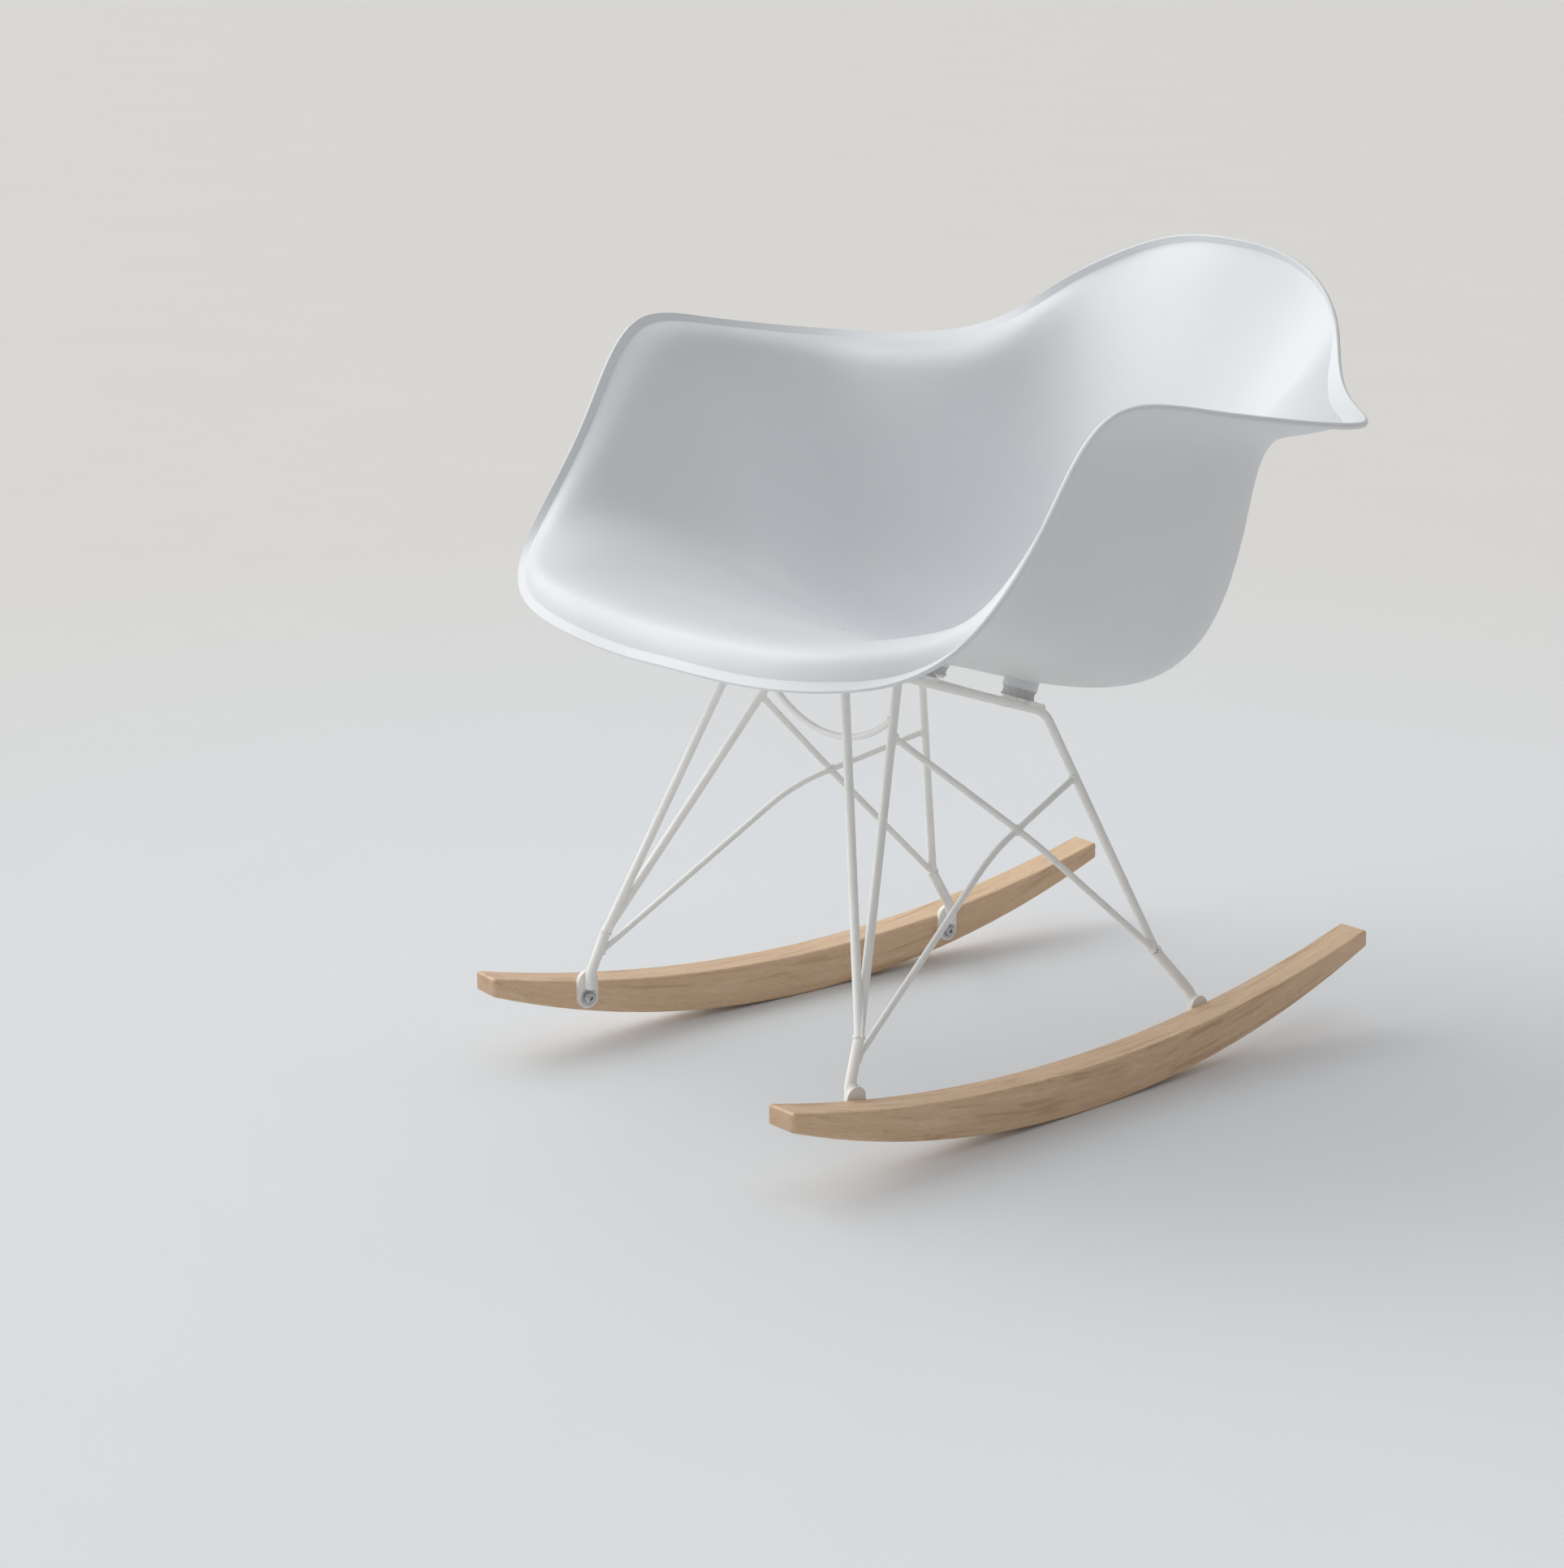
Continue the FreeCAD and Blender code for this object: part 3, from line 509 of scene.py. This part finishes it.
@dataclass
class WeldedFrame:
    """The wire frame: coated rods and plates with a bead round each welded joint.

    bead_lift and bead_flat are shares of the bead's radius, and ripple_depth and wander_depth
    are the shares that it swells by. A face belongs to a joint when it lies within touch of
    the neighbour and the two normals' dot product is below facing.
    """

    bead_radius: float = 0.0016
    bead_lift: float = 0.18
    bead_flat: float = 0.82
    bead_step: float = 0.0006
    ripple_pitch: float = 0.0019
    ripple_depth: float = 0.15
    wander_depth: float = 0.05
    wander_turns: tuple[tuple[float, float], ...] = ((410.0, 0.0), (930.0, 1.3))
    bead_sides: int = 8
    touch: float = 0.0002
    facing: float = -0.6
    least_loop: float = 0.012
    coat: PowderCoat = field(default_factory=PowderCoat)
    rods: tuple[str, ...] = ("side_wire", "front_strut", "long_brace", "short_brace",
                             "front_post", "rear_post", "mount_plate_front",
                             "mount_plate_rear", "foot_plate_front", "foot_plate_rear")
    side_joints: tuple[tuple[str, str, str], ...] = (
        ("post_welds", "side_wire", "front_post"),
        ("post_welds", "side_wire", "rear_post"),
        ("post_welds", "front_strut", "front_post"),
        ("rail_welds", "front_strut", "side_wire"),
        ("brace_welds", "long_brace", "front_post"),
        ("brace_welds", "long_brace", "side_wire"),
        ("brace_welds", "short_brace", "side_wire"),
        ("brace_welds", "short_brace", "front_strut"),
        ("crossing_welds", "short_brace", "long_brace"),
        ("mount_welds", "mount_plate_front", "side_wire"),
        ("mount_welds", "mount_plate_rear", "side_wire"),
        ("foot_welds", "front_post", "foot_plate_front"),
        ("foot_welds", "rear_post", "foot_plate_rear"),
    )

    def joint_loops(self, rod: str, neighbour: str) -> list[list[Vector]]:
        """Loops where a rod's cut end lies on its neighbour."""
        body = cad_mesh(rod)
        other = cad_mesh(neighbour)
        tree = BVHTree.FromBMesh(other)
        region = set()
        for face in body.faces:
            middle = face.calc_center_median()
            _, normal, _, distance = tree.find_nearest(middle)
            if distance < self.touch and normal.dot(face.normal) < self.facing:
                region.add(face)
        rim = [edge for edge in body.edges
               if sum(face in region for face in edge.link_faces) == 1]
        loops = [loop for loop in ordered_loops(rim) if girth(loop) > self.least_loop]
        body.free()
        other.free()
        return loops

    def bead(self, loop: list[Vector], neighbour: str, points: list[Vector],
             faces: list[tuple[int, ...]]) -> None:
        """Add one rippled bead that follows a loop.

        Args:
            loop: The joint's outline.
            neighbour: The CAD node that the joint lies on.
            points: Vertices to add to.
            faces: Faces to add to.
        """
        other = cad_mesh(neighbour)
        tree = BVHTree.FromBMesh(other)
        path = evenly_spaced(loop, self.bead_step)
        count = len(path)
        centre = sum(path, Vector()) / count
        first = len(points)
        for index, point in enumerate(path):
            tangent = (path[(index + 1) % count] - path[index - 1]).normalized()
            normal = tree.find_nearest(point)[1]
            out = point - centre
            out = (out - normal * out.dot(normal)).normalized()
            lean = (out + normal).normalized()
            side = (lean - tangent * lean.dot(tangent)).normalized()
            over = tangent.cross(side)
            travelled = index * self.bead_step
            wave = math.sin(2 * math.pi * travelled / self.ripple_pitch)
            wander = sum(math.sin(travelled * rate + start)
                         for rate, start in self.wander_turns)
            radius = self.bead_radius * (1 + self.ripple_depth * wave
                                         + self.wander_depth * wander)
            middle = point + side * (radius * self.bead_lift)
            for turn in range(self.bead_sides):
                angle = 2 * math.pi * turn / self.bead_sides
                points.append(middle + side * (radius * self.bead_flat * math.cos(angle))
                              + over * (radius * math.sin(angle)))
        for index in range(count):
            here = first + index * self.bead_sides
            onward = first + (index + 1) % count * self.bead_sides
            for turn in range(self.bead_sides):
                beside = (turn + 1) % self.bead_sides
                faces.append((here + turn, here + beside, onward + beside, onward + turn))
        other.free()

    def build(self) -> None:
        """Coat the rods and lay the beads."""
        coat = self.coat.material()
        dress([rod + "_" + side for side in SIDES for rod in self.rods], coat)
        dress(["front_arc", "cross_rod"], coat)
        joints = [(piece, rod + "_" + side, neighbour + "_" + side)
                  for piece, rod, neighbour in self.side_joints for side in SIDES]
        for side in SIDES:
            joints.append(("arc_welds", "front_arc", "front_strut_" + side))
            joints.append(("cross_rod_welds", "cross_rod", "side_wire_" + side))
        for piece in sorted({name for name, _, _ in joints}):
            points: list[Vector] = []
            faces: list[tuple[int, ...]] = []
            for name, rod, neighbour in joints:
                if name == piece:
                    for loop in self.joint_loops(rod, neighbour):
                        LOG.info("%s on %s: loop of %d points", rod, neighbour, len(loop))
                        self.bead(loop, neighbour, points, faces)
            if faces:
                new_piece(piece, points, faces, coat)


@dataclass
class MouldedSeat:
    """The shell with the ribs round its bosses and the gate mark below it.

    A rib leaves its boss with rib_foot of the height left open below it, and closes up to the
    shell along its reach. Its section is 7-sided: rib_half wide at the middle, drawn in by
    rib_shoulder near its lower edge and spread by rib_root where it meets the shell.
    """

    boss_radius: float = 0.015
    rib_count: int = 8
    rib_reach: float = 0.013
    rib_half: float = 0.0009
    rib_sink: float = 0.0008
    rib_foot: float = 0.30
    rib_least: float = 0.0020
    rib_steps: int = 9
    rib_rise: float = 0.6
    rib_crown: float = 0.3
    rib_shoulder: float = 0.7
    rib_root: float = 1.25
    mount_flat: float = 0.85
    gate_turns: int = 56
    gate_profile: tuple[tuple[float, float], ...] = (
        (0.0, 0.00095), (0.0011, 0.00105), (0.0017, 0.0007), (0.0021, 0.00022),
        (0.0068, 0.00018), (0.0073, 0.0005), (0.0081, 0.00055), (0.0086, 0.0002),
        (0.0093, -0.0004))
    finish: MouldedWhite = field(default_factory=MouldedWhite)

    def boss(self, mount: str) -> tuple[Vector, Vector]:
        """Where a mount meets its boss, and the way up into the seat."""
        mesh = cad_mesh(mount)
        top = [face for face in mesh.faces if face.normal.z > self.mount_flat]
        up = sum((face.normal * face.calc_area() for face in top), Vector()).normalized()
        high = max(face.calc_center_median().dot(up) for face in top)
        ring = [vert.co for vert in mesh.verts if abs(vert.co.dot(up) - high) < 1e-5]
        centre = sum(ring, Vector()) / len(ring)
        mesh.free()
        return centre, up

    def rib(self, shell: BVHTree, foot: Vector, up: Vector, out: Vector,
            points: list[Vector], faces: list[tuple[int, ...]]) -> None:
        """Add one thin web that runs from a boss out along the shell's underside.

        Args:
            shell: The shell's surface.
            foot: Centre of the boss's lower face.
            up: The boss's axis.
            out: The web's direction, square to the axis.
            points: Vertices to add to.
            faces: Faces to add to.
        """
        wide = up.cross(out) * self.rib_half
        stations = []
        for step in range(self.rib_steps + 1):
            share = step / self.rib_steps
            at = foot + out * (self.boss_radius - self.rib_sink + self.rib_reach * share)
            hit = shell.ray_cast(at, up)[0]
            if hit is None:
                return
            height = (hit - at).dot(up)
            low = height * (self.rib_foot + (1 - self.rib_foot) * share ** self.rib_rise)
            stations.append((at, low, height + self.rib_sink))
        if stations[0][2] - stations[0][1] < self.rib_least:
            return
        first = len(points)
        for at, low, high in stations:
            crown = up * min(self.rib_half, (high - low) / 3)
            foot_line = at + up * low
            root_line = at + up * high
            shoulder = wide * self.rib_shoulder
            root = wide * self.rib_root
            lift = crown * self.rib_crown
            section = [foot_line, foot_line + shoulder + lift, foot_line + wide + crown,
                       root_line + root, root_line - root, foot_line - wide + crown,
                       foot_line - shoulder + lift]
            points.extend(section)
        sides = len(section)
        for step in range(self.rib_steps):
            here = first + step * sides
            for side in range(sides):
                beside = (side + 1) % sides
                faces.append((here + side, here + beside, here + sides + beside,
                              here + sides + side))
        faces.append(tuple(first + side for side in reversed(range(sides))))
        last = first + self.rib_steps * sides
        faces.append(tuple(last + side for side in range(sides)))

    def ribs(self, shell: BVHTree, material: bpy.types.Material) -> None:
        """Add the webs round all four bosses."""
        points: list[Vector] = []
        faces: list[tuple[int, ...]] = []
        for end in ENDS:
            for side in SIDES:
                foot, up = self.boss("shock_mount_" + end + "_" + side)
                ahead = up.cross(Vector((1.0, 0.0, 0.0))).normalized()
                across = ahead.cross(up)
                for index in range(self.rib_count):
                    turn = 2 * math.pi * (index + 0.5) / self.rib_count
                    out = ahead * math.cos(turn) + across * math.sin(turn)
                    self.rib(shell, foot, up, out, points, faces)
        if faces:
            new_piece("boss_ribs", points, faces, material)

    def gate_mark(self, shell: BVHTree, material: bpy.types.Material) -> None:
        """Add the raised ring and nib that the moulding gate leaves under the pan."""
        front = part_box("shock_mount_front_left")[0].y
        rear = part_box("shock_mount_rear_left")[1].y
        start = Vector((0.0, (front + rear) / 2, 0.0))
        spot, normal, _, _ = shell.ray_cast(start, Vector((0.0, 0.0, 1.0)))
        ahead = normal.cross(Vector((1.0, 0.0, 0.0))).normalized()
        across = ahead.cross(normal)
        points = [spot + normal * self.gate_profile[0][1]]
        for radius, proud in self.gate_profile[1:]:
            for index in range(self.gate_turns):
                turn = 2 * math.pi * index / self.gate_turns
                out = ahead * math.cos(turn) + across * math.sin(turn)
                points.append(spot + out * radius + normal * proud)
        faces: list[tuple[int, ...]] = []
        for index in range(self.gate_turns):
            beside = (index + 1) % self.gate_turns
            faces.append((0, 1 + beside, 1 + index))
            for ring in range(len(self.gate_profile) - 2):
                here = 1 + ring * self.gate_turns
                onward = here + self.gate_turns
                faces.append((here + index, here + beside, onward + beside, onward + index))
        new_piece("gate_mark", points, faces, material)

    def build(self) -> None:
        """Finish the shell and add its moulding marks."""
        white = self.finish.material()
        dress(["seat_shell"], white)
        body = cad_mesh("seat_shell")
        shell = BVHTree.FromBMesh(body)
        self.ribs(shell, white)
        self.gate_mark(shell, white)
        body.free()


@dataclass
class RockerPair:
    """The two bent wooden rockers."""

    sole_radius: float = 0.905

    def build(self) -> None:
        """Finish the rockers."""
        wood = OiledBeech(bend_radius=self.sole_radius).material()
        dress(["rocker_" + side for side in SIDES], wood)


@dataclass
class Fixings:
    """Rubber mounts, screws, washers, sleeves and inserts."""

    zinc: PlatedMetal = PlatedMetal(
        "zinc_steel", bright=tone(0.62, 0.63, 0.64), dull=tone(0.46, 0.46, 0.47))
    brass: PlatedMetal = PlatedMetal(
        "insert_brass", bright=tone(0.78, 0.58, 0.28), dull=tone(0.58, 0.42, 0.20))

    def build(self) -> None:
        """Finish the fixings."""
        mounts = ["shock_mount_" + end + "_" + side for end in ENDS for side in SIDES]
        dress(mounts, PaleRubber().material())
        dress(["mount_sleeves", "mount_washers", "mount_screws", "rocker_washers",
               "rocker_screws"], self.zinc.material())
        dress(["seat_inserts", "rocker_inserts"], self.brass.material())


@dataclass(frozen=True)
class SoftLight:
    """Wide light from far away: the way to it, its width in degrees, strength and colour."""

    name: str
    source: tuple[float, float, float]
    spread: float
    power: float
    colour: tuple[float, float, float]

    def build(self) -> None:
        """Hang the light."""
        data = bpy.data.lights.new(self.name, "SUN")
        data.angle = math.radians(self.spread)
        data.energy = self.power
        data.color = self.colour
        lamp = bpy.data.objects.new(self.name, data)
        lamp.rotation_euler = (-Vector(self.source)).to_track_quat("-Z", "Y").to_euler()
        bpy.context.scene.collection.objects.link(lamp)


@dataclass
class Studio:
    """Floor, soft lights and the camera."""

    floor_half: float = 30.0
    azimuth: float = 51.42
    elevation: float = 15.755
    distance: float = 2.964
    target: tuple[float, float, float] = (-0.0665, -0.1172, 0.2400)
    lens: float = 80.53
    sensor: float = 36.0
    bright_air: Colour = tone(0.590, 0.600, 0.615)
    dim_air: Colour = tone(0.165, 0.153, 0.149)
    bright_way: tuple[float, float, float] = (-0.70, -0.58, 0.42)
    lights: tuple[SoftLight, ...] = (
        SoftLight("window_light", (-0.85, -0.58, 0.60), 72.0, 1.58, (1.0, 0.99, 0.975)),
        SoftLight("ceiling_light", (-0.28, 0.16, 1.0), 78.0, 0.64, (0.98, 0.99, 1.0)))

    def floor(self) -> None:
        """Lay the floor."""
        half = self.floor_half
        mesh = bpy.data.meshes.new("studio_floor")
        corners = [(-half, -half, 0), (half, -half, 0), (half, half, 0), (-half, half, 0)]
        mesh.from_pydata(corners, [], [(0, 1, 2, 3)])
        mesh.materials.append(PaintedFloor().material())
        floor = bpy.data.objects.new("studio_floor", mesh)
        bpy.context.scene.collection.objects.link(floor)

    def sky(self) -> None:
        """Pale light from all round, stronger on the window's side of the room."""
        world = bpy.data.worlds.new("studio_air")
        world.use_nodes = True
        nodes = world.node_tree.nodes
        links = world.node_tree.links
        way = nodes.new("ShaderNodeTexCoord").outputs["Generated"]
        facing = nodes.new("ShaderNodeVectorMath")
        facing.operation = "DOT_PRODUCT"
        facing.inputs[1].default_value = Vector(self.bright_way).normalized()
        links.new(way, facing.inputs[0])
        share = nodes.new("ShaderNodeMapRange")
        share.inputs["From Min"].default_value = -1.0
        links.new(facing.outputs["Value"], share.inputs["Value"])
        blend = nodes.new("ShaderNodeMix")
        blend.data_type = "RGBA"
        blend.inputs[6].default_value = self.dim_air
        blend.inputs[7].default_value = self.bright_air
        links.new(share.outputs[0], blend.inputs[0])
        links.new(blend.outputs[2], nodes["Background"].inputs["Color"])
        bpy.context.scene.world = world

    def camera(self) -> None:
        """Place the camera at the product's three-quarter view."""
        data = bpy.data.cameras.new("camera")
        data.lens = self.lens
        data.sensor_width = self.sensor
        data.clip_end = 100.0
        camera = bpy.data.objects.new("camera", data)
        turn = math.radians(self.azimuth)
        lift = math.radians(self.elevation)
        back = Vector((math.sin(turn) * math.cos(lift), -math.cos(turn) * math.cos(lift),
                       math.sin(lift)))
        camera.location = Vector(self.target) + back * self.distance
        camera.rotation_euler = (-back).to_track_quat("-Z", "Y").to_euler()
        bpy.context.scene.collection.objects.link(camera)
        bpy.context.scene.camera = camera

    def build(self) -> None:
        """Set the stage."""
        self.camera()
        self.floor()
        self.sky()
        for light in self.lights:
            light.build()
        bpy.context.scene.view_settings.view_transform = "Standard"


def main() -> None:
    """Build everything in order."""
    logging.basicConfig(level=logging.INFO, format="%(name)s %(message)s")
    Studio().build()
    MouldedSeat().build()
    WeldedFrame().build()
    RockerPair().build()
    Fixings().build()


if __name__ == "__main__":
    main()
